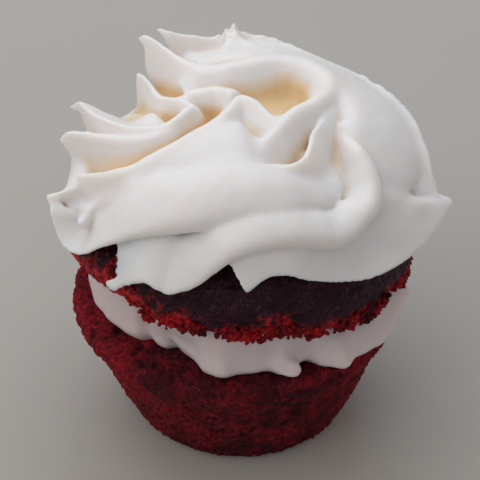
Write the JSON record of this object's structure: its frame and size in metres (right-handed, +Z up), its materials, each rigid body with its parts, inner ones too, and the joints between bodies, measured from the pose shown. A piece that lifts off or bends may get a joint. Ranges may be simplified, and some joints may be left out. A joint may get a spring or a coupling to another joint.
{
  "type": "filled mini cupcake",
  "caption": "Small tapered sponge cupcake, split and filled with cream, with a tilted domed top under a piped swirl of frosting.",
  "frame": {"origin": "centre of the flat foot that the cupcake stands on", "axes": "+Z up, +Y towards the back, where the swirl's wall is highest, +X to the right, towards the swirl's long tip"},
  "size_m": [0.0526, 0.0528, 0.0516],
  "materials": {
    "sponge_base": "dark red crumbly sponge cake, brighter red where it is torn",
    "filling_cream": "soft off-white cream cheese frosting",
    "sponge_top": "dark wine-red baked crust with bright red crumbs along the cut edge",
    "swirl_cream": "smooth satin off-white cream cheese frosting"
  },
  "bodies": {
    "root": {"cake_base": "sponge_base", "frosting_filling": "filling_cream", "cake_top": "sponge_top", "frosting_swirl": "swirl_cream"}
  },
  "joints": []
}
